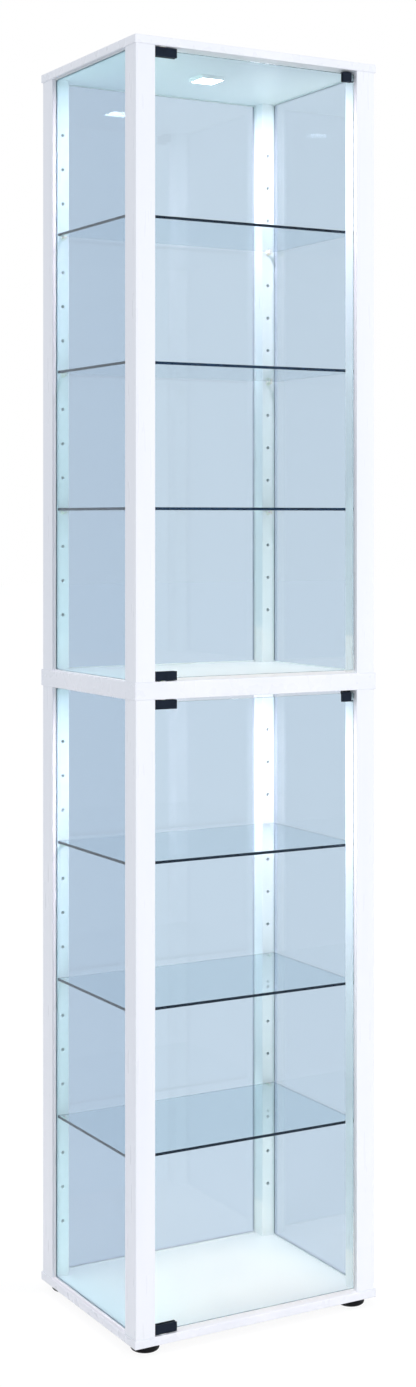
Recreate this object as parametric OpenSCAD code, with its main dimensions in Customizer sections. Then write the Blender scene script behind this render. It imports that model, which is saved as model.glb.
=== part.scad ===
// Tall two-compartment glass display case with one glass door per compartment.
// Millimetres, +Z up, the doors face -Y, the feet stand on z = 0, centred on x = y = 0.

/* [Case] */
// Width over the panels
case_w = 390; // [320:1:520]
// Depth over the panels
case_d = 300; // [240:1:400]
// Clear height of each compartment, panel to panel
bay_h = 861; // [811:1:911]
// Thickness of the top and bottom panels
panel_t = 12; // [11.5:0.5:20]
// Thickness of the middle panel
middle_t = 24; // [20:1:36]
// How far a panel stands out past the posts
panel_lip = 2; // [1:0.5:6]
// Radius on the long edges of the panels
panel_r = 1.5; // [0.5:0.1:3]

/* [Posts] */
// Width of a post, along the front
post_w = 30; // [28:0.5:34]
// Depth of a post, front to back
post_d = 32; // [28:0.5:36]
// Radius on the long edges of the posts
post_r = 1.2; // [0.5:0.1:2]
// Diameter of the shelf pin holes
pin_d = 5; // [4:0.5:6]
// Pitch of the shelf pin holes
pin_pitch = 50; // [32:1:64]
// Least distance from a panel to the first shelf pin hole
pin_end = 60; // [50:1:74]
// Depth of the shelf pin holes
pin_depth = 10; // [8:0.5:11]
// Distance from a post's outer face to the shelf pin holes
pin_in = 20; // [18:0.5:22]

/* [Glass] */
// Thickness of the side, back and door glass
pane_t = 4; // [3:0.5:5]
// Distance from a post's outer face to the pane
pane_in = 6; // [5:0.5:7.5]
// Depth of the pane grooves in the posts
groove_post = 8; // [6:0.5:8.5]
// Depth of the pane grooves in the panels
groove_panel = 4; // [3:0.5:5]
// Room on each face of a pane in its groove
pane_room = 0.1; // [0.05:0.05:0.3]
// Room past the free edges of a pane in its groove
pane_end_room = 0.5; // [0.3:0.1:1]

/* [Shelves] */
// Thickness of the glass shelves
shelf_t = 4; // [4:0.5:6]
// Room between a shelf and the side panes
shelf_side_room = 1; // [0.5:0.5:3]
// Room between a shelf and the posts
shelf_post_room = 2; // [1:0.5:4]
// Ground arris on the free edges of shelves and doors
arris = 0.4; // [0.2:0.1:0.6]
// Shelf pin holes from one shelf to the next
shelf_step = 4; // [3:1:5]
// Length of a shelf pin outside its post
pin_nose = 9; // [7:0.5:12]

/* [Doors] */
// Room between a door and the posts
door_room = 1.5; // [1.5:0.5:3]
// Distance from a post's front face to the door glass
door_in = 5; // [4:0.5:10]
// Width of a hinge clip
clip_w = 33; // [30:1:45]
// Height of a hinge clip
clip_h = 12.6; // [11:0.2:15]
// Thickness of the cheeks of a hinge clip
clip_cheek = 2.4; // [2:0.2:3]
// Thickness of the end web of a hinge clip
clip_web = 2.5; // [2:0.5:4]
// Thickness of the soft liner in a hinge clip
liner_t = 0.8; // [0.5:0.1:1]
// Distance from the door's edge to its pivot
pivot_in = 12; // [10:0.5:14]
// Diameter of the pivot pins
pivot_d = 5; // [4:0.5:6]
// Length of a pivot pin inside its bush
pivot_len = 8; // [6:0.5:9]
// Distance from a clip's inner end to its first clamp screw
clamp_in = 6.5; // [5:0.5:8]
// Spacing of the two clamp screws in a clip
clamp_pitch = 9; // [8:0.5:10]
// Radial room of a pivot pin in its bush
pivot_room = 0.05; // [0.02:0.01:0.1]
// Thickness of a bush flange
flange_t = 0.8; // [0.6:0.1:1.2]
// Free play between the upper clip and its bush
door_play = 0.4; // [0.3:0.1:0.8]

/* [Catches] */
// Width of the strike
strike_w = 15; // [12:0.5:20]
// Height of the strike
strike_h = 14; // [12:0.5:16]
// Thickness of the strike's cheeks
strike_t = 1.5; // [1:0.1:2]
// Distance from the door's free edge to the strike
strike_in = 5; // [4:0.5:7]
// Reach of the pull tab beside the strike
tab_w = 2.5; // [2:0.5:3]
// Height of the pull tab
tab_h = 1.8; // [1.4:0.2:3]
// Width of the catch housing
catch_w = 11.5; // [11:0.5:14]
// Depth of the catch housing
catch_d = 9; // [8.5:0.5:12]
// Height of the catch housing
catch_h = 12.5; // [11:0.5:15]
// Air gap between magnet and strike
catch_gap = 0.3; // [0.3:0.1:0.6]
// Length of a catch screw inside its panel
catch_screw_in = 7; // [6:0.5:8]

/* [Lamps] */
// Side of the square lamp housing
lamp_w = 40; // [34:1:50]
// Height of the lamp housing
lamp_h = 5; // [4:0.5:8]
// Width of the rim round the lens
lamp_rim = 2.5; // [2:0.5:4]
// Thickness of the lens
lens_t = 1.6; // [1.2:0.2:2]

/* [Feet] */
// Height of the feet
foot_h = 11; // [10:0.5:20]
// Diameter of the feet
foot_d = 40; // [34:1:42]
// Distance from a panel's end to a foot's centre
foot_in_x = 28; // [26:0.5:34]
// Distance from a panel's front or back edge to a foot's centre
foot_in_y = 25; // [24:0.5:34]
// Rounding under the rim of a foot
foot_r = 4.5; // [3:0.5:6]

/* [Fixings] */
// Diameter of the corner screws and studs
screw_d = 6; // [5:0.5:7]
// Length of a corner screw or stud inside a post
screw_in_post = 34; // [28:1:40]
// Distance from a post's outer faces to its screw
screw_in = 9; // [8.5:0.5:10]
// Diameter of the head of a corner screw
screw_head_d = 10; // [9:0.5:11]
// Height of the head of a corner screw
screw_head_h = 3; // [2:0.5:4]
// Diameter of the wooden dowels
dowel_d = 6; // [5:0.5:6.5]
// Length of the dowels
dowel_len = 30; // [26:1:34]
// Depth of the dowel holes in the panels
dowel_in_panel = 9; // [8:0.5:10]
// Radial room of screws, dowels and shelf pins in their holes
fix_room = 0.05; // [0.05:0.01:0.1]

/* [Hidden] */
$fn = 48;
eps = 0.5;

z_low = foot_h + panel_t;
z_mid = z_low + bay_h;
z_up = z_mid + middle_t;
z_top = z_up + bay_h;

post_x = case_w / 2 - panel_lip;
post_y = case_d / 2 - panel_lip;
post_in_x = post_x - post_w;
post_in_y = post_y - post_d;

pane_x = post_x - pane_in;
pane_y = post_y - pane_in;
tongue = groove_post - pane_end_room;
side_len = 2 * (post_in_y + tongue);
back_len = 2 * (post_in_x + tongue);
pane_h = bay_h + 2 * groove_panel - pane_end_room;
slot_w = pane_t + 2 * pane_room;

pin_holes = floor((bay_h - 2 * pin_end) / pin_pitch) + 1;
pin_first = (bay_h - (pin_holes - 1) * pin_pitch) / 2;
pin_mid = floor((pin_holes - 1) / 2);
pin_flat = 0.4 * pin_d;
pin_shank = pin_depth - 1;
collar_d = pin_d + 2.5;
collar_t = 1.2;
shelf_w = 2 * (pane_x - pane_t - shelf_side_room);
shelf_d = 2 * (post_in_y - shelf_post_room);

web_stack = clip_web + liner_t;
door_w = 2 * (post_in_x - door_room);
door_h = bay_h - 2 * (flange_t + web_stack) - door_play;
door_y = -(post_y - door_in - pane_t / 2);
pivot_x = -door_w / 2 + pivot_in;
slot_t = pane_t + 2 * liner_t;
clip_t = slot_t + 2 * clip_cheek;
clamp_d = 4;
clamp_x = clip_w - pivot_in - clamp_in;
clamp_z = clip_web + (clip_h - clip_web) * 0.52;
clamp_proud = 0.6;
clamp_len = clip_cheek + clamp_proud;
clamp_key = 2.3;
clamp_key_deep = 1.4;
bush_wall = 1.5;
bush_d = pivot_d + 2 * bush_wall;
bush_h = pivot_len + 0.5;
flange_out = 3;
flange_d = pivot_d + 2 * flange_out;

strike_x = door_w / 2 - strike_in - strike_w;
strike_web = 2;
magnet_w = 7;
magnet_d = 4;
magnet_h = 5;
magnet_in = 1.5;
magnet_z = 4.3;
catch_x = strike_x + strike_w - magnet_in - magnet_w;
catch_y = door_y + pane_t / 2 + strike_t + catch_gap;
catch_screw_d = 3;
catch_head_d = 4.4;
catch_head_h = 2;
catch_head_in = 0.5;
catch_cross = [2.8, 0.6, 1.2];
catch_screw_y = catch_d - 2.8;

lamp_r = 3;
lens_w = lamp_w - 2 * lamp_rim;

foot_xy = [case_w / 2 - foot_in_x, case_d / 2 - foot_in_y];
foot_bore_d = 4;
foot_head_d = 8;
foot_head_h = 3;
foot_head_z = 3;
foot_screw_end = 4;
foot_screw_in = panel_t - foot_screw_end;
foot_cross = [4.8, 1, 1.8];
foot_rim_step = 2.5;
foot_rim_h = foot_h - 3;

screw_sink = 0.3;
screw_key = 4.6;
screw_key_deep = 2.2;

dowel_xy = [18, 17];
stud_len = middle_t + 2 * screw_in_post;

WHITE = [0.95, 0.96, 0.98];
GLASS = [0.72, 0.83, 0.90, 0.45];
BLACK = [0.07, 0.08, 0.10];
STEEL = [0.72, 0.73, 0.75];
WOOD = [0.80, 0.66, 0.46];
NYLON = [0.90, 0.90, 0.87];
RUBBER = [0.16, 0.17, 0.18];

// ---- shared shapes ----

module rounded_rect(w, h, r) {
    square([w - 2 * r, h], center = true);
    square([w, h - 2 * r], center = true);
    for (x = [-1, 1], y = [-1, 1])
        translate([x * (w / 2 - r), y * (h / 2 - r)])
            circle(r);
}

module soft_block(w, d, t, r) {
    intersection() {
        translate([0, 0, t / 2])
            rotate([90, 0, 0])
                linear_extrude(d, center = true)
                    rounded_rect(w, t, r);
        translate([0, 0, t / 2])
            rotate([90, 0, 90])
                linear_extrude(w, center = true)
                    rounded_rect(d, t, r);
        linear_extrude(t)
            rounded_rect(w, d, r);
    }
}

module arris_rect(w, h, c) {
    polygon([[w / 2, h / 2 - c], [w / 2 - c, h / 2], [c - w / 2, h / 2], [-w / 2, h / 2 - c],
        [-w / 2, c - h / 2], [c - w / 2, -h / 2], [w / 2 - c, -h / 2], [w / 2, c - h / 2]]);
}

// A pane with its four edges ground, lying flat and centred on x and y
module arris_pane(w, d, t) {
    intersection() {
        translate([0, 0, t / 2])
            rotate([90, 0, 0])
                linear_extrude(d, center = true)
                    arris_rect(w, t, arris);
        translate([0, 0, t / 2])
            rotate([90, 0, 90])
                linear_extrude(w, center = true)
                    arris_rect(d, t, arris);
    }
}

module flip_x(on) {
    if (on)
        mirror([1, 0, 0])
            children();
    else
        children();
}

module flip_y(on) {
    if (on)
        mirror([0, 1, 0])
            children();
    else
        children();
}

module upside_down() {
    mirror([0, 0, 1])
        children();
}

// Driver slots of this length, width and depth, cut into a head that faces down
module cross_slot(size) {
    for (turn = [0, 90])
        rotate([0, 0, turn])
            translate([-size[0] / 2, -size[1] / 2, -eps])
                cube([size[0], size[1], size[2] + eps]);
}

// Places its children at one corner of the case, x and y running inward
module corner(right, rear) {
    flip_x(right)
        flip_y(rear)
            translate([-post_x, -post_y, 0])
                children();
}

module corners() {
    for (right = [false, true], rear = [false, true])
        corner(right, rear)
            children();
}

module bar(d, h) {
    cylinder(d = d, h = h);
}

module hole(d, h) {
    bar(d + 2 * fix_room, h);
}

// ---- panels ----

module pane_grooves() {
    for (side = [-1, 1])
        translate([side * (pane_x - pane_t / 2), 0, 0])
            cube([slot_w, side_len + 2 * pane_end_room, 2 * groove_panel], center = true);
    translate([0, pane_y - pane_t / 2, 0])
        cube([back_len + 2 * pane_end_room, slot_w, 2 * groove_panel], center = true);
}

// Everything cut into a panel face that closes a compartment; +Z runs into the panel
module face_cuts(has_catch) {
    pane_grooves();
    corners()
        translate([dowel_xy[0], dowel_xy[1], -eps])
            hole(dowel_d, dowel_in_panel + eps);
    translate([pivot_x, door_y, -eps])
        hole(bush_d, bush_h + eps + 0.5);
    if (has_catch)
        translate([catch_x + catch_w / 2, catch_y + catch_screw_y, -eps])
            hole(catch_screw_d, catch_screw_in + 1 + eps);
}

module corner_screw_holes(t) {
    corners()
        translate([screw_in, screw_in, -eps])
            hole(screw_d, t + 2 * eps);
}

module screw_head_recess() {
    corners()
        translate([screw_in, screw_in, -eps])
            bar(screw_head_d + 0.6, screw_head_h + screw_sink + eps);
}

module end_panel_body(has_catch) {
    difference() {
        soft_block(case_w, case_d, panel_t, panel_r);
        corner_screw_holes(panel_t);
        screw_head_recess();
        translate([0, 0, panel_t])
            upside_down()
                face_cuts(has_catch);
    }
}

module top_panel() {
    color(WHITE)
        translate([0, 0, z_top + panel_t])
            upside_down()
                end_panel_body(true);
}

module bottom_panel() {
    color(WHITE)
        translate([0, 0, foot_h])
            difference() {
                end_panel_body(false);
                for (x = [-1, 1], y = [-1, 1])
                    translate([x * foot_xy[0], y * foot_xy[1], -eps])
                        hole(foot_bore_d, foot_screw_in + 1 + eps);
            }
}

module middle_panel() {
    color(WHITE)
        translate([0, 0, z_mid])
            difference() {
                soft_block(case_w, case_d, middle_t, panel_r);
                corner_screw_holes(middle_t);
                face_cuts(true);
                translate([0, 0, middle_t])
                    upside_down()
                        face_cuts(false);
            }
}

// ---- posts ----

module post_end_holes() {
    translate([screw_in, screw_in, -eps])
        hole(screw_d, screw_in_post + 1 + eps);
    translate([dowel_xy[0], dowel_xy[1], -eps])
        hole(dowel_d, dowel_len - dowel_in_panel + 1 + eps);
}

module post_body(rear) {
    difference() {
        translate([post_w / 2, post_d / 2, 0])
            linear_extrude(bay_h)
                rounded_rect(post_w, post_d, post_r);
        translate([pane_in - pane_room, post_d - groove_post, -eps])
            cube([slot_w, groove_post + eps, bay_h + 2 * eps]);
        if (rear)
            translate([post_w - groove_post, pane_in - pane_room, -eps])
                cube([groove_post + eps, slot_w, bay_h + 2 * eps]);
        for (i = [0 : pin_holes - 1])
            translate([pin_in, post_d + eps, pin_first + i * pin_pitch])
                rotate([90, 0, 0])
                    hole(pin_d, pin_depth + eps);
        post_end_holes();
        translate([0, 0, bay_h])
            upside_down()
                post_end_holes();
    }
}

module post(right, rear, z) {
    color(WHITE)
        translate([0, 0, z])
            corner(right, rear)
                post_body(rear);
}

module upper_post_front_left() { post(false, false, z_up); }
module upper_post_front_right() { post(true, false, z_up); }
module upper_post_rear_left() { post(false, true, z_up); }
module upper_post_rear_right() { post(true, true, z_up); }
module lower_post_front_left() { post(false, false, z_low); }
module lower_post_front_right() { post(true, false, z_low); }
module lower_post_rear_left() { post(false, true, z_low); }
module lower_post_rear_right() { post(true, true, z_low); }

// ---- fixed glass ----

module side_pane(right, z) {
    color(GLASS)
        flip_x(right)
            translate([-pane_x, -side_len / 2, z - groove_panel])
                cube([pane_t, side_len, pane_h]);
}

module back_pane(z) {
    color(GLASS)
        translate([-back_len / 2, pane_y - pane_t, z - groove_panel])
            cube([back_len, pane_t, pane_h]);
}

module upper_side_pane_left() { side_pane(false, z_up); }
module upper_side_pane_right() { side_pane(true, z_up); }
module upper_back_pane() { back_pane(z_up); }
module lower_side_pane_left() { side_pane(false, z_low); }
module lower_side_pane_right() { side_pane(true, z_low); }
module lower_back_pane() { back_pane(z_low); }

// ---- shelves and their pins ----

function pin_z(step) = pin_first + (pin_mid + step * shelf_step) * pin_pitch;

module shelf(z, step) {
    color(GLASS)
        translate([0, 0, z + pin_z(step) + pin_flat])
            arris_pane(shelf_w, shelf_d, shelf_t);
}

// One pin lying along +Y, the post's face at y = 0
module shelf_pin() {
    rotate([-90, 0, 0])
        translate([0, 0, -pin_shank])
            bar(pin_d, pin_shank);
    difference() {
        union() {
            rotate([-90, 0, 0])
                bar(pin_d, pin_nose);
            rotate([-90, 0, 0])
                bar(collar_d, collar_t);
        }
        translate([-pin_d, collar_t, pin_flat])
            cube([2 * pin_d, pin_nose, pin_d]);
    }
}

module shelf_pins(z) {
    color(STEEL)
        for (step = [-1, 0, 1])
            translate([0, 0, z + pin_z(step)])
                corners()
                    translate([pin_in, post_d, 0])
                        shelf_pin();
}

module upper_shelf_top() { shelf(z_up, 1); }
module upper_shelf_middle() { shelf(z_up, 0); }
module upper_shelf_low() { shelf(z_up, -1); }
module upper_shelf_pins() { shelf_pins(z_up); }
module lower_shelf_top() { shelf(z_low, 1); }
module lower_shelf_middle() { shelf(z_low, 0); }
module lower_shelf_low() { shelf(z_low, -1); }
module lower_shelf_pins() { shelf_pins(z_low); }

// ---- doors: glass, pivot clips, bushes ----

module door_pane(z) {
    color(GLASS)
        translate([0, door_y + pane_t / 2, z + flange_t + web_stack + door_h / 2])
            rotate([90, 0, 0])
                arris_pane(door_w, door_h, pane_t);
}

// Puts its children at the bearing face of a door clip, +Z running into the door
module at_clip(z, top) {
    translate([pivot_x, door_y, z])
        if (top)
            translate([0, 0, bay_h - flange_t - door_play])
                upside_down()
                    children();
        else
            translate([0, 0, flange_t])
                children();
}

module at_clamps() {
    for (x = [clamp_x - clamp_pitch, clamp_x])
        translate([x, slot_t / 2, clamp_z])
            rotate([-90, 0, 0])
                children();
}

module clip_body() {
    difference() {
        translate([clip_w / 2 - pivot_in, 0, 0])
            soft_block(clip_w, clip_t, clip_h, 0.8);
        translate([-pivot_in - eps, -slot_t / 2, clip_web])
            cube([clip_w + 2 * eps, slot_t, clip_h]);
        translate([0, 0, -eps])
            bar(pivot_d, clip_web + 2 * eps);
        at_clamps()
            translate([0, 0, -eps])
                hole(clamp_d, clip_cheek + 2 * eps);
    }
}

module clip(z, top) {
    color(BLACK)
        at_clip(z, top)
            clip_body();
}

module liner_body() {
    difference() {
        translate([-pivot_in, -slot_t / 2, clip_web])
            cube([clip_w, slot_t, clip_h - clip_web - 0.6]);
        translate([-pivot_in - eps, -pane_t / 2, web_stack])
            cube([clip_w + 2 * eps, pane_t, clip_h]);
    }
}

module liners(z) {
    color(RUBBER)
        for (top = [false, true])
            at_clip(z, top)
                liner_body();
}

module clamp_screws(z) {
    color(STEEL)
        for (top = [false, true])
            at_clip(z, top)
                at_clamps()
                    difference() {
                        bar(clamp_d, clamp_len);
                        translate([0, 0, clamp_len - clamp_key_deep])
                            cylinder(d = clamp_key, h = clamp_key_deep + eps, $fn = 6);
                    }
}

module pivots(z) {
    color(STEEL)
        for (top = [false, true])
            at_clip(z, top) {
                tail = flange_t + (top ? door_play : 0) + pivot_len;
                translate([0, 0, -tail])
                    bar(pivot_d, tail + clip_web);
            }
}

module bush() {
    difference() {
        union() {
            translate([0, 0, -bush_h])
                bar(bush_d, bush_h);
            bar(flange_d, flange_t);
        }
        translate([0, 0, -bush_h - eps])
            bar(pivot_d + 2 * pivot_room, bush_h + flange_t + 2 * eps);
    }
}

module bushes(z) {
    color(NYLON) {
        translate([pivot_x, door_y, z])
            bush();
        translate([pivot_x, door_y, z + bay_h])
            upside_down()
                bush();
    }
}

module upper_door_pane() { door_pane(z_up); }
module upper_door_clip_top() { clip(z_up, true); }
module upper_door_clip_low() { clip(z_up, false); }
module upper_door_liners() { liners(z_up); }
module upper_door_clamp_screws() { clamp_screws(z_up); }
module upper_door_pivots() { pivots(z_up); }
module upper_door_bushes() { bushes(z_up); }
module lower_door_pane() { door_pane(z_low); }
module lower_door_clip_top() { clip(z_low, true); }
module lower_door_clip_low() { clip(z_low, false); }
module lower_door_liners() { liners(z_low); }
module lower_door_clamp_screws() { clamp_screws(z_low); }
module lower_door_pivots() { pivots(z_low); }
module lower_door_bushes() { bushes(z_low); }

// ---- magnetic catches ----

module strike(z) {
    top = z + bay_h - flange_t - door_play - web_stack;
    color(BLACK)
        translate([strike_x, door_y, top + strike_web - strike_h])
            difference() {
                union() {
                    translate([strike_w / 2, 0, 0])
                        soft_block(strike_w, pane_t + 2 * strike_t, strike_h, 0.6);
                    translate([strike_w - 1, -pane_t / 2 - strike_t, 0])
                        cube([tab_w + 1, strike_t, tab_h]);
                }
                translate([-eps, -pane_t / 2, -eps])
                    cube([strike_w + tab_w + 2 * eps, pane_t, strike_h - strike_web + eps]);
            }
}

// Puts its children at the catch's front left top corner, +Z running down
module at_catch(z) {
    translate([catch_x, catch_y, z + bay_h])
        upside_down()
            children();
}

module catch_body() {
    difference() {
        translate([catch_w / 2, catch_d / 2, 0])
            soft_block(catch_w, catch_d, catch_h, 0.8);
        translate([magnet_in, -eps, magnet_z])
            cube([magnet_w, magnet_d + eps, magnet_h]);
        translate([catch_w / 2, catch_screw_y, -eps])
            hole(catch_screw_d, catch_h + 2 * eps);
        translate([catch_w / 2, catch_screw_y, catch_h - catch_head_h - catch_head_in])
            bar(catch_head_d + 0.4, catch_head_h + catch_head_in + eps);
    }
}

module catch(z) {
    color(BLACK)
        at_catch(z)
            catch_body();
}

module catch_magnet(z) {
    color(STEEL)
        at_catch(z)
            translate([magnet_in, 0, magnet_z])
                cube([magnet_w, magnet_d, magnet_h]);
}

module catch_screws() {
    color(STEEL)
        for (z = [z_low, z_up])
            at_catch(z)
                translate([catch_w / 2, catch_screw_y, 0])
                    difference() {
                        union() {
                            translate([0, 0, -catch_screw_in])
                                bar(catch_screw_d, catch_screw_in + catch_h - catch_head_h);
                            translate([0, 0, catch_h - catch_head_h - catch_head_in])
                                bar(catch_head_d, catch_head_h);
                        }
                        translate([0, 0, catch_h - catch_head_in])
                            upside_down()
                                cross_slot(catch_cross);
                    }
}

module upper_door_strike() { strike(z_up); }
module upper_catch() { catch(z_up); }
module upper_catch_magnet() { catch_magnet(z_up); }
module lower_door_strike() { strike(z_low); }
module lower_catch() { catch(z_low); }
module lower_catch_magnet() { catch_magnet(z_low); }

// ---- lamps ----

module lamp(z) {
    color(WHITE)
        translate([0, 0, z + bay_h - lamp_h])
            difference() {
                linear_extrude(lamp_h)
                    rounded_rect(lamp_w, lamp_w, lamp_r);
                translate([0, 0, -eps])
                    linear_extrude(lamp_h - 1.2 + eps)
                        rounded_rect(lens_w - 2, lens_w - 2, 1);
                translate([0, 0, -eps])
                    linear_extrude(lens_t + 0.3 + eps)
                        rounded_rect(lens_w, lens_w, 2);
            }
}

module lamp_lens(z) {
    color(NYLON)
        translate([0, 0, z + bay_h - lamp_h + 0.3])
            linear_extrude(lens_t)
                rounded_rect(lens_w - 0.2, lens_w - 0.2, 1.9);
}

module upper_lamp() { lamp(z_up); }
module upper_lamp_lens() { lamp_lens(z_up); }
module lower_lamp() { lamp(z_low); }
module lower_lamp_lens() { lamp_lens(z_low); }

// ---- feet ----

// Half of a foot's upright section: a rim rounded below, and a narrower seat above it
module foot_section() {
    intersection() {
        union() {
            square([foot_d / 2 - foot_r, foot_rim_h]);
            translate([0, foot_r])
                square([foot_d / 2, foot_rim_h]);
            translate([foot_d / 2 - foot_r, foot_r])
                circle(foot_r);
        }
        square([foot_d / 2, foot_rim_h]);
    }
    translate([0, foot_r])
        square([foot_d / 2 - foot_rim_step, foot_h - foot_r]);
}

module foot_body() {
    difference() {
        rotate_extrude()
            foot_section();
        translate([0, 0, -eps])
            hole(foot_bore_d, foot_h + 2 * eps);
        translate([0, 0, -eps])
            bar(foot_head_d + 1, foot_head_z + foot_head_h + eps);
    }
}

module foot(right, rear) {
    color(BLACK)
        flip_x(right)
            flip_y(rear)
                translate([-foot_xy[0], -foot_xy[1], 0])
                    foot_body();
}

module foot_screws() {
    color(STEEL)
        for (x = [-1, 1], y = [-1, 1])
            translate([x * foot_xy[0], y * foot_xy[1], foot_head_z])
                difference() {
                    union() {
                        bar(foot_head_d, foot_head_h);
                        bar(foot_bore_d, foot_h - foot_head_z + foot_screw_in);
                    }
                    cross_slot(foot_cross);
                }
}

module foot_front_left() { foot(false, false); }
module foot_front_right() { foot(true, false); }
module foot_rear_left() { foot(false, true); }
module foot_rear_right() { foot(true, true); }

// ---- corner fixings ----

module corner_screw() {
    difference() {
        union() {
            translate([0, 0, screw_sink])
                bar(screw_head_d, screw_head_h);
            translate([0, 0, screw_sink])
                bar(screw_d, panel_t - screw_sink + screw_in_post);
        }
        translate([0, 0, screw_sink - eps])
            cylinder(d = screw_key, h = screw_key_deep + eps, $fn = 6);
    }
}

module bottom_screws() {
    color(STEEL)
        translate([0, 0, foot_h])
            corners()
                translate([screw_in, screw_in, 0])
                    corner_screw();
}

module top_screws() {
    color(STEEL)
        translate([0, 0, z_top + panel_t])
            upside_down()
                corners()
                    translate([screw_in, screw_in, 0])
                        corner_screw();
}

module middle_studs() {
    color(STEEL)
        translate([0, 0, z_mid - screw_in_post])
            corners()
                translate([screw_in, screw_in, 0])
                    bar(screw_d, stud_len);
}

module corner_dowels() {
    post_part = dowel_len - dowel_in_panel;
    color(WOOD)
        for (z = [z_low - dowel_in_panel, z_mid - post_part, z_up - dowel_in_panel, z_top - post_part])
            corners()
                translate([dowel_xy[0], dowel_xy[1], z])
                    bar(dowel_d, dowel_len);
}

top_panel();
middle_panel();
bottom_panel();
upper_post_front_left();
upper_post_front_right();
upper_post_rear_left();
upper_post_rear_right();
lower_post_front_left();
lower_post_front_right();
lower_post_rear_left();
lower_post_rear_right();
upper_side_pane_left();
upper_side_pane_right();
upper_back_pane();
lower_side_pane_left();
lower_side_pane_right();
lower_back_pane();
upper_shelf_top();
upper_shelf_middle();
upper_shelf_low();
upper_shelf_pins();
lower_shelf_top();
lower_shelf_middle();
lower_shelf_low();
lower_shelf_pins();
upper_door_pane();
upper_door_clip_top();
upper_door_clip_low();
upper_door_liners();
upper_door_clamp_screws();
upper_door_pivots();
upper_door_bushes();
upper_door_strike();
upper_catch();
upper_catch_magnet();
lower_door_pane();
lower_door_clip_top();
lower_door_clip_low();
lower_door_liners();
lower_door_clamp_screws();
lower_door_pivots();
lower_door_bushes();
lower_door_strike();
lower_catch();
lower_catch_magnet();
catch_screws();
upper_lamp();
upper_lamp_lens();
lower_lamp();
lower_lamp_lens();
foot_front_left();
foot_front_right();
foot_rear_left();
foot_rear_right();
foot_screws();
corner_dowels();
top_screws();
bottom_screws();
middle_studs();
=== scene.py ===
"""Looks for a tall glass display case, in the CAD's own frame and in metres.

Light and stage first, then one function for each finish, then the glazing bead that the scene adds.
"""
import math

import bpy
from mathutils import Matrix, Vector


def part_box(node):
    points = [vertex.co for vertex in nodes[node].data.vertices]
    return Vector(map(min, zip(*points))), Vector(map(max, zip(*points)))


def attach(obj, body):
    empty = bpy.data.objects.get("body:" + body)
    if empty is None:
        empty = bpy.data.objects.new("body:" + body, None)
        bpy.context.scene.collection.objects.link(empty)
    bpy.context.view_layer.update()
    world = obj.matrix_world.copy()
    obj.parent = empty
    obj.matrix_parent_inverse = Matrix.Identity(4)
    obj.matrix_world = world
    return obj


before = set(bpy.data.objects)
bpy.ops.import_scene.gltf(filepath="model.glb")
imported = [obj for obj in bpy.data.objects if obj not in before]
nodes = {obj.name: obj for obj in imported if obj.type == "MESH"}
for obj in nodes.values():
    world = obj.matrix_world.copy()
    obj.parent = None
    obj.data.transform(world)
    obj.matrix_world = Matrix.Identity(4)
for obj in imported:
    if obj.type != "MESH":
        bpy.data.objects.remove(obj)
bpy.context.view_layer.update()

MM = 0.001

# Brightness of the room as it lights the case; what the eye sees of it is plain white
ROOM_GLOW = 0.86
# The floor's own glow, which the room's light on it brings up to the backdrop's white
FLOOR_GLOW = 0.905

# Radiance (red, green, blue) of the sheets of light in each compartment
GLOW = {
    "lamp": (570, 500, 560),
    "back": (0.15, 0.28, 0.3),
    "left": (0.95, 1.3, 1.1),
    "right": (0.74, 0.82, 0.74),
    "up": (1.0, 1.06, 1.02),
    "down": (0.42, 0.28, 0.16),
}
# Room between a pane and the sheet of light before it
PANE_SHEET_OFF = 0.3 * MM
# Room between a lamp's lens and its sheet of light
LAMP_SHEET_OFF = 1 * MM
# Distances from the door's top and bottom edges to the sheets that light the ceiling and the floor
UP_SHEET_DROP = 220 * MM
DOWN_SHEET_RISE = 50 * MM

# Most of a noise texture's values lie between these two
NOISE_LOW = 0.3
NOISE_HIGH = 0.7

# Radius of the glazing bead on the inner and on the outer faces of the fixed panes
INNER_BEAD = 0.9 * MM
OUTER_BEAD = 0.7 * MM


def is_glass(name):
    """True for doors, fixed panes and shelves, but not for the shelves' pins."""
    return name.endswith("_pane") or "_pane_" in name or ("_shelf_" in name and "pins" not in name)


# ---- view, stage and light ----

def place_camera():
    """Level camera at the front left, just under the upper compartment's low shelf."""
    data = bpy.data.cameras.new("view")
    camera = bpy.data.objects.new("view", data)
    bpy.context.scene.collection.objects.link(camera)
    data.sensor_width = 36.0
    data.lens = 53.234
    data.shift_y = -0.1247
    data.clip_end = 200.0
    camera.location = (-1.4644, -2.5964, 1.1262)
    camera.rotation_euler = (math.radians(90), 0, math.radians(-29.46))
    bpy.context.scene.camera = camera


def linear(hex_code):
    """sRGB hex to the linear RGBA that sockets take."""
    channels = [int(hex_code[i:i + 2], 16) / 255 for i in (0, 2, 4)]
    return [c / 12.92 if c <= 0.04045 else ((c + 0.055) / 1.055) ** 2.4 for c in channels] + [1.0]


def add(tree, kind, inputs=None, **settings):
    """Adds one node, sets its properties, and sets or links its inputs."""
    node = tree.nodes.new(kind)
    for name, value in settings.items():
        setattr(node, name, value)
    for name, value in (inputs or {}).items():
        if isinstance(value, bpy.types.NodeSocket):
            tree.links.new(value, node.inputs[name])
        else:
            node.inputs[name].default_value = value
    return node


def seen_directly(tree):
    """1 for what the eye sees straight on, in a mirror or through glass."""
    path = add(tree, "ShaderNodeLightPath")
    eye = add(tree, "ShaderNodeMath", {0: path.outputs["Is Camera Ray"], 1: path.outputs["Is Glossy Ray"]},
              operation="MAXIMUM")
    return add(tree, "ShaderNodeMath", {0: eye.outputs[0], 1: path.outputs["Is Transmission Ray"]},
               operation="MAXIMUM").outputs[0]


def hide_lamp(lamp):
    """The lamp still lights the case, but is seen neither straight on nor in or through glass."""
    lamp.visible_camera = False
    lamp.visible_glossy = False
    lamp.visible_transmission = False


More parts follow.
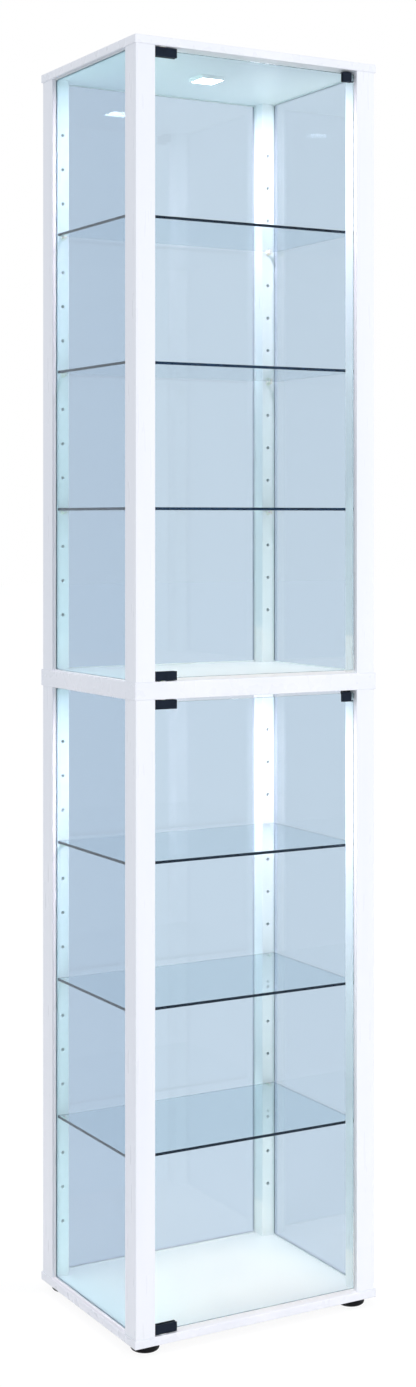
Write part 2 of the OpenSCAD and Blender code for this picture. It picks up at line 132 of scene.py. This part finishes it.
def light_studio():
    """White cyclorama: an even room light, and one wide soft box ahead of the doors."""
    scene = bpy.context.scene
    scene.view_settings.view_transform = "Standard"
    world = bpy.data.worlds.new("studio")
    scene.world = world
    world.use_nodes = True
    tree = world.node_tree
    tree.nodes.clear()
    room = add(tree, "ShaderNodeBackground", {"Color": linear("F4F8FF"), "Strength": ROOM_GLOW})
    backdrop = add(tree, "ShaderNodeBackground", {"Color": (1, 1, 1, 1), "Strength": 1.0})
    mix = add(tree, "ShaderNodeMixShader",
              {0: seen_directly(tree), 1: room.outputs[0], 2: backdrop.outputs[0]})
    add(tree, "ShaderNodeOutputWorld", {"Surface": mix.outputs[0]})

    box = bpy.data.lights.new("soft_box", "AREA")
    box.shape = "RECTANGLE"
    box.size = 2.4
    box.size_y = 3.0
    box.energy = 52.0
    box.color = (1.0, 0.98, 0.965)
    lamp = bpy.data.objects.new("soft_box", box)
    lamp.location = (1.1, -4.2, 1.6)
    middle_of_case = Vector((0, 0, 0.9))
    lamp.rotation_euler = (middle_of_case - lamp.location).to_track_quat("-Z", "Y").to_euler()
    hide_lamp(lamp)
    scene.collection.objects.link(lamp)


def inner_light(name, shading, width, height, glow, place, heading):
    """A sheet of light with this glow inside a compartment. Only the shading pieces stop its light."""
    data = bpy.data.lights.new(name, "AREA")
    data.shape = "RECTANGLE"
    data.size = width
    data.size_y = height
    data.energy = math.pi * width * height * max(glow)
    data.color = [part / max(glow) for part in glow]
    light = bpy.data.objects.new(name, data)
    light.location = place
    light.rotation_euler = Vector(heading).to_track_quat("-Z", "Y").to_euler()
    hide_lamp(light)
    light.light_linking.blocker_collection = shading
    bpy.context.scene.collection.objects.link(light)


def light_compartments():
    """Light of each lamp, light that comes in through the panes, and light that the shelves return.

    The glass casts no shade from these sheets, because it would stop light that real glass lets through.
    """
    shading = bpy.data.collections.new("shading_pieces")
    for name, piece in nodes.items():
        if not is_glass(name) and "lamp" not in name:
            shading.objects.link(piece)
    for level in ("upper", "lower"):
        lens_low, lens_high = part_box(level + "_lamp_lens")
        door_low, door_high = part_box(level + "_door_pane")
        back_low, back_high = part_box(level + "_back_pane")
        left_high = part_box(level + "_side_pane_left")[1]
        lens = lens_high[0] - lens_low[0]
        mid_z = (door_low[2] + door_high[2]) / 2
        tall = door_high[2] - door_low[2]
        wide = door_high[0] - door_low[0]
        deep = back_low[1] - door_high[1]
        mid_y = (back_low[1] + door_high[1]) / 2
        side_x = left_high[0] + PANE_SHEET_OFF
        back_y = back_low[1] - PANE_SHEET_OFF
        lamp_z = lens_low[2] - LAMP_SHEET_OFF
        up_z = door_high[2] - UP_SHEET_DROP
        down_z = door_low[2] + DOWN_SHEET_RISE
        sheets = [
            ("lamp", lens, lens, (0, 0, lamp_z), (0, 0, -1)),
            ("back", wide, tall, (0, back_y, mid_z), (0, -1, 0)),
            ("left", deep, tall, (side_x, mid_y, mid_z), (1, 0, 0)),
            ("right", deep, tall, (-side_x, mid_y, mid_z), (-1, 0, 0)),
            ("up", wide, deep, (0, mid_y, up_z), (0, 0, 1)),
            ("down", wide, deep, (0, mid_y, down_z), (0, 0, -1)),
        ]
        for way, width, height, place, heading in sheets:
            inner_light(level + "_light_" + way, shading, width, height, GLOW[way], place, heading)


def lay_floor():
    """White studio floor that runs far back and takes the case's faint shadow."""
    mesh = bpy.data.meshes.new("floor")
    half = 30.0
    corners = [(-half, -half, 0), (half, -half, 0), (half, half, 0), (-half, half, 0)]
    mesh.from_pydata(corners, [], [(0, 1, 2, 3)])
    floor = bpy.data.objects.new("floor", mesh)
    bpy.context.scene.collection.objects.link(floor)
    mat = bpy.data.materials.new("White_studio_floor")
    mat.use_nodes = True
    tree = mat.node_tree
    tree.nodes.clear()
    paint = add(tree, "ShaderNodeBsdfDiffuse", {"Color": linear("E8E8E8")})
    shade = add(tree, "ShaderNodeBsdfDiffuse", {"Color": linear("626262")})
    glow = add(tree, "ShaderNodeEmission", {"Color": (1, 1, 1, 1), "Strength": FLOOR_GLOW})
    both = add(tree, "ShaderNodeAddShader", {0: shade.outputs[0], 1: glow.outputs[0]})
    mix = add(tree, "ShaderNodeMixShader",
              {0: seen_directly(tree), 1: paint.outputs[0], 2: both.outputs[0]})
    add(tree, "ShaderNodeOutputMaterial", {"Surface": mix.outputs[0]})
    mesh.materials.append(mat)


# ---- materials ----

def principled(name, **values):
    """A new material holding one Principled shader with these socket values."""
    mat = bpy.data.materials.new(name)
    mat.use_nodes = True
    tree = mat.node_tree
    tree.nodes.clear()
    shader = add(tree, "ShaderNodeBsdfPrincipled", {k.replace("_", " "): v for k, v in values.items()})
    add(tree, "ShaderNodeOutputMaterial", {"Surface": shader.outputs[0]})
    return mat, tree, shader


def grain(tree, size_mm, detail=2.0, stretch=(1, 1, 1)):
    """Noise on object coordinates whose blotches are about size_mm across."""
    place = add(tree, "ShaderNodeTexCoord")
    fit = add(tree, "ShaderNodeMapping", {"Vector": place.outputs["Object"], "Scale": stretch})
    noise = add(tree, "ShaderNodeTexNoise",
                {"Vector": fit.outputs[0], "Scale": 1 / (size_mm * MM), "Detail": detail})
    return noise.outputs["Fac"]


def between(tree, factor, low, high):
    """Number that runs from low to high with a noise texture's factor."""
    return add(tree, "ShaderNodeMapRange", {"Value": factor, "From Min": NOISE_LOW, "From Max": NOISE_HIGH,
                                            "To Min": low, "To Max": high}).outputs[0]


def shades(tree, factor, dark, light):
    """Colour that runs from dark to light with a noise texture's factor."""
    ramp = add(tree, "ShaderNodeValToRGB", {"Fac": factor})
    ramp.color_ramp.elements[0].position = NOISE_LOW
    ramp.color_ramp.elements[0].color = linear(dark)
    ramp.color_ramp.elements[1].position = NOISE_HIGH
    ramp.color_ramp.elements[1].color = linear(light)
    return ramp.outputs["Color"]


def across(tree, axis):
    """1 on the faces that look along this axis, 0 on the others and on the bevels between them."""
    place = add(tree, "ShaderNodeTexCoord")
    parts = add(tree, "ShaderNodeSeparateXYZ", {0: place.outputs["Normal"]})
    along = add(tree, "ShaderNodeMath", {0: parts.outputs[axis]}, operation="ABSOLUTE")
    past_bevels = 0.8
    return add(tree, "ShaderNodeMath", {0: along.outputs[0], 1: past_bevels},
               operation="GREATER_THAN").outputs[0]


def dent(tree, shader, height, depth_mm):
    """Fine relief of this depth on the shader's surface."""
    bump = add(tree, "ShaderNodeBump", {"Height": height, "Distance": depth_mm * MM, "Strength": 1.0})
    tree.links.new(bump.outputs[0], shader.inputs["Normal"])


def melamine_board():
    """Melamine-faced chipboard: a cool white with a fine pearl texture that softens what it mirrors.

    The edges have a smoother plastic band. The pearl is drawn coarser than it is, so that it shows.
    """
    mat, tree, shader = principled("Melamine_faced_board", IOR=1.5)
    on_face = across(tree, "Z")
    tree.links.new(shades(tree, grain(tree, 90), "F1F3F8", "F7F8FC"), shader.inputs["Base Color"])
    sheen = add(tree, "ShaderNodeMix", {"Factor": on_face,
                                        "A": between(tree, grain(tree, 25), 0.26, 0.3),
                                        "B": between(tree, grain(tree, 12), 0.34, 0.42)})
    tree.links.new(sheen.outputs["Result"], shader.inputs["Roughness"])
    pearl = add(tree, "ShaderNodeMath", {0: grain(tree, 1.6), 1: on_face}, operation="MULTIPLY")
    dent(tree, shader, pearl.outputs[0], 0.03)
    return mat


def foil_wrapped_post():
    """Plastic foil wrapped round a post: smoother than the board, its faint streaks run up the post."""
    mat, tree, shader = principled("Foil_wrapped_post", IOR=1.48)
    up_post = (1, 1, 0.1)
    tree.links.new(shades(tree, grain(tree, 70, stretch=up_post), "F2F4F9", "F8F9FC"),
                   shader.inputs["Base Color"])
    tree.links.new(between(tree, grain(tree, 6, stretch=up_post), 0.27, 0.34), shader.inputs["Roughness"])
    dent(tree, shader, grain(tree, 2.5, stretch=(1, 1, 0.2)), 0.02)
    return mat


def float_glass(name, thin_axis, face, edge, mirror="FFFFFF"):
    """Float glass: clear and faintly blue through its faces, with a tint of its own along its edges.

    A darker mirror colour paints a dimmer reflection on its faces, so that the white studio doesn't wash
    them out. The face tint, given per pane, is the glass's faint blue made lighter or darker as painted
    light and shade.
    """
    mat, tree, shader = principled(name, IOR=1.52, Transmission_Weight=1.0, Specular_Tint=linear(mirror))
    tint = add(tree, "ShaderNodeMix",
               {"Factor": across(tree, thin_axis), "A": linear(edge), "B": linear(face)}, data_type="RGBA")
    tree.links.new(tint.outputs["Result"], shader.inputs["Base Color"])
    tree.links.new(between(tree, grain(tree, 45), 0.0, 0.012), shader.inputs["Roughness"])
    return mat


def black_coated_zinc():
    """Die-cast zinc under a black powder coat: satin, a little blue where it catches the light.

    The coat's orange peel is drawn coarser than it is, so that it shows.
    """
    mat, tree, shader = principled("Black_coated_die_cast_zinc", IOR=1.5, Specular_IOR_Level=0.2,
                                   Specular_Tint=linear("8AA4D6"))
    tree.links.new(shades(tree, grain(tree, 8), "1A1F27", "1F2631"), shader.inputs["Base Color"])
    tree.links.new(between(tree, grain(tree, 3), 0.36, 0.48), shader.inputs["Roughness"])
    dent(tree, shader, grain(tree, 1.1), 0.05)
    return mat


def black_abs():
    """Moulded black plastic: a soft sheen over a spark-eroded texture, drawn coarser than it is."""
    mat, tree, shader = principled("Moulded_black_ABS", IOR=1.53, Specular_IOR_Level=0.12)
    tree.links.new(shades(tree, grain(tree, 10), "0A0A0D", "101014"), shader.inputs["Base Color"])
    tree.links.new(between(tree, grain(tree, 2), 0.42, 0.55), shader.inputs["Roughness"])
    dent(tree, shader, grain(tree, 0.9), 0.04)
    return mat


def soft_liner():
    """Extruded rubber: dull and nearly black, greyer where dust lies."""
    mat, tree, shader = principled("Extruded_EPDM_rubber", IOR=1.5)
    tree.links.new(shades(tree, grain(tree, 4), "17181A", "242629"), shader.inputs["Base Color"])
    tree.links.new(between(tree, grain(tree, 2), 0.7, 0.85), shader.inputs["Roughness"])
    return mat


def steel(name, dark, light, rough, grain_mm, stretch=(1, 1, 1)):
    """Steel whose sheen and shade change from grain to grain; a stretch draws the grains out into marks."""
    mat, tree, shader = principled(name, Metallic=1.0)
    marks = grain(tree, grain_mm, stretch=stretch)
    tree.links.new(shades(tree, grain(tree, grain_mm * 3), dark, light), shader.inputs["Base Color"])
    tree.links.new(between(tree, marks, *rough), shader.inputs["Roughness"])
    dent(tree, shader, marks, 0.01)
    return mat


def zinc_plated_steel():
    """Bright zinc plating on screws, studs and pivots: pale bluish grey with soft spangles."""
    return steel("Zinc_plated_steel", "9EA3A8", "BFC4C8", (0.3, 0.42), 3)


def ground_steel():
    """Ground pole face of a catch magnet: darker grey, with grinding marks along X."""
    return steel("Ground_steel_pole_face", "7C7F82", "9A9DA0", (0.3, 0.4), 1, (0.1, 1, 1))


def natural_nylon():
    """Moulded nylon without pigment: milky and waxy, because a little light goes into it."""
    mat, tree, shader = principled("Moulded_natural_nylon", IOR=1.53, Subsurface_Weight=0.25,
                                   Subsurface_Scale=0.002)
    tree.links.new(shades(tree, grain(tree, 5), "E4E2D8", "EFEEE8"), shader.inputs["Base Color"])
    tree.links.new(between(tree, grain(tree, 2), 0.38, 0.5), shader.inputs["Roughness"])
    return mat


def lamp_shell():
    """Moulded white plastic of a lamp housing: glossier and more neutral than the board."""
    mat, tree, shader = principled("Moulded_white_ABS", IOR=1.53)
    tree.links.new(shades(tree, grain(tree, 20), "EEF0F3", "F5F6F8"), shader.inputs["Base Color"])
    tree.links.new(between(tree, grain(tree, 3), 0.2, 0.28), shader.inputs["Roughness"])
    return mat


def lit_diffuser():
    """Opal acrylic lens, lit from behind and a little brighter over each diode."""
    mat, tree, shader = principled("Opal_acrylic_diffuser", IOR=1.49, Roughness=0.3)
    tree.links.new(shades(tree, grain(tree, 6), "F4F8FC", "FBFDFF"), shader.inputs["Base Color"])
    shader.inputs["Emission Color"].default_value = linear("F2F9FF")
    tree.links.new(between(tree, grain(tree, 9), 90.0, 110.0), shader.inputs["Emission Strength"])
    return mat


def beech():
    """Turned beech: pale brown wood, with its grain along the dowel."""
    mat, tree, shader = principled("Beech_dowel", IOR=1.5)
    along_dowel = (1, 1, 0.08)
    tree.links.new(shades(tree, grain(tree, 0.8, 4, along_dowel), "B58F62", "D6B88C"),
                   shader.inputs["Base Color"])
    tree.links.new(between(tree, grain(tree, 0.8, 4, along_dowel), 0.55, 0.7), shader.inputs["Roughness"])
    return mat


def milky_bead():
    """Extruded milky PVC: bright and soft, because light goes well into it."""
    mat, tree, shader = principled("Extruded_milky_PVC", IOR=1.53, Subsurface_Weight=1.0,
                                   Subsurface_Radius=(1, 1, 1), Subsurface_Scale=0.002)
    tree.links.new(shades(tree, grain(tree, 30), "E6F1F3", "F2F8F9"), shader.inputs["Base Color"])
    tree.links.new(between(tree, grain(tree, 5), 0.45, 0.58), shader.inputs["Roughness"])
    return mat


# ---- glazing bead ----

def bead_tree():
    """Sweeps a round bead along each closed loop of edges, bent at the corners."""
    tree = bpy.data.node_groups.new("round_bead", "GeometryNodeTree")
    for name, kind in (("Geometry", "Geometry"), ("Bead radius", "Float"), ("Corner radius", "Float"),
                       ("Sides", "Int"), ("Finish", "Material")):
        tree.interface.new_socket(name, in_out="INPUT", socket_type="NodeSocket" + kind)
    tree.interface.new_socket("Geometry", in_out="OUTPUT", socket_type="NodeSocketGeometry")
    given = add(tree, "NodeGroupInput").outputs
    path = add(tree, "GeometryNodeMeshToCurve", {"Mesh": given["Geometry"]})
    bent = add(tree, "GeometryNodeFilletCurve",
               {"Curve": path.outputs[0], "Count": 4, "Radius": given["Corner radius"]}, mode="POLY")
    ring = add(tree, "GeometryNodeCurvePrimitiveCircle",
               {"Resolution": given["Sides"], "Radius": given["Bead radius"]})
    tube = add(tree, "GeometryNodeCurveToMesh",
               {"Curve": bent.outputs[0], "Profile Curve": ring.outputs[0]})
    whole = add(tree, "GeometryNodeRealizeInstances", {"Geometry": tube.outputs[0]})
    done = add(tree, "GeometryNodeSetMaterial", {"Geometry": whole.outputs[0], "Material": given["Finish"]})
    add(tree, "NodeGroupOutput", {"Geometry": done.outputs[0]})
    return tree


def bead_loops(radius, outside):
    """Four corners round each fixed pane, on one of its faces, a bead's radius off glass and frame."""
    loops = []
    for level in ("upper", "lower"):
        post_low, post_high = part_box(level + "_post_rear_right")
        for pane, thin, wide, reach in (("_side_pane_left", 0, 1, post_low[1]),
                                        ("_side_pane_right", 0, 1, post_low[1]),
                                        ("_back_pane", 1, 0, post_low[0])):
            low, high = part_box(level + pane)
            upward = (high[thin] > 0) == outside
            loop = []
            for side, top in ((-1, False), (1, False), (1, True), (-1, True)):
                corner = [0.0, 0.0, post_high[2] - radius if top else post_low[2] + radius]
                corner[thin] = high[thin] + radius if upward else low[thin] - radius
                corner[wide] = side * (reach - radius)
                loop.append(corner)
            loops.append(loop)
    return loops


def lay_glazing_bead(name, radius, outside):
    """Lays a milky bead all round the fixed panes, on their outer or their inner faces."""
    loops = bead_loops(radius, outside)
    mesh = bpy.data.meshes.new("bead_paths")
    edges = [(4 * i + k, 4 * i + (k + 1) % 4) for i in range(len(loops)) for k in range(4)]
    mesh.from_pydata([corner for loop in loops for corner in loop], edges, [])
    path = bpy.data.objects.new("bead_paths", mesh)
    bpy.context.scene.collection.objects.link(path)
    sweep = path.modifiers.new("bead", "NODES")
    sweep.node_group = bead_tree()
    given = {"Bead radius": radius, "Corner radius": 4 * radius, "Sides": 10, "Finish": milky_bead()}
    for item in sweep.node_group.interface.items_tree:
        if item.in_out == "INPUT" and item.name in given:
            sweep[item.identifier] = given[item.name]
    evaluated = path.evaluated_get(bpy.context.evaluated_depsgraph_get())
    bead = bpy.data.objects.new(name, bpy.data.meshes.new_from_object(evaluated))
    bpy.data.objects.remove(path)
    bead.data.polygons.foreach_set("use_smooth", [True] * len(bead.data.polygons))
    bpy.context.scene.collection.objects.link(bead)
    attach(bead, "case")


def dress_nodes():
    """Gives every node its finish, by the first rule whose words are in the node's name.

    The last rule is for what no other fits: screws, studs and pivots.
    """
    board = melamine_board()
    # All five are one float glass: the door's lighter face tint and the darker tints of the back and side
    # panes are painted light and shade, and the darker mirror colours of the door, the left pane and the
    # shelf paint dimmer reflections.
    door = float_glass("Float_glass_door", "Y", "EEFAFF", "C4DCDD", "5F7590")
    back = float_glass("Float_glass_back_pane", "Y", "D2DAE5", "C4DCDD")
    right = float_glass("Float_glass_side_pane", "X", "CFD7E2", "C4DCDD")
    left = float_glass("Float_glass_left_pane", "X", "CBDDEB", "C4DCDD", "5F7590")
    shelf = float_glass("Float_glass_shelf", "Z", "E2EDF2", "0E2C46", "9DB4D0")
    coated = black_coated_zinc()
    plastic = black_abs()
    nylon = natural_nylon()
    zinc = zinc_plated_steel()
    rules = [
        ("_panel", board),
        ("_post_", foil_wrapped_post()),
        ("_door_pane", door),
        ("_pane_left", left),
        ("_pane_right", right),
        ("_back_pane", back),
        ("shelf_pins", nylon),
        ("_shelf_", shelf),
        ("_clip_", coated),
        ("_strike", coated),
        ("liners", soft_liner()),
        ("bushes", nylon),
        ("foot_screws", zinc),
        ("foot_", plastic),
        ("catch_magnet", ground_steel()),
        ("catch_screws", zinc),
        ("_catch", plastic),
        ("lens", lit_diffuser()),
        ("_lamp", lamp_shell()),
        ("dowels", beech()),
        ("", zinc),
    ]
    for name, piece in nodes.items():
        finish = next(mat for key, mat in rules if key in name)
        piece.data.materials.clear()
        piece.data.materials.append(finish)


place_camera()
light_studio()
light_compartments()
lay_floor()
dress_nodes()
lay_glazing_bead("glazing_bead_inner", INNER_BEAD, False)
lay_glazing_bead("glazing_bead_outer", OUTER_BEAD, True)
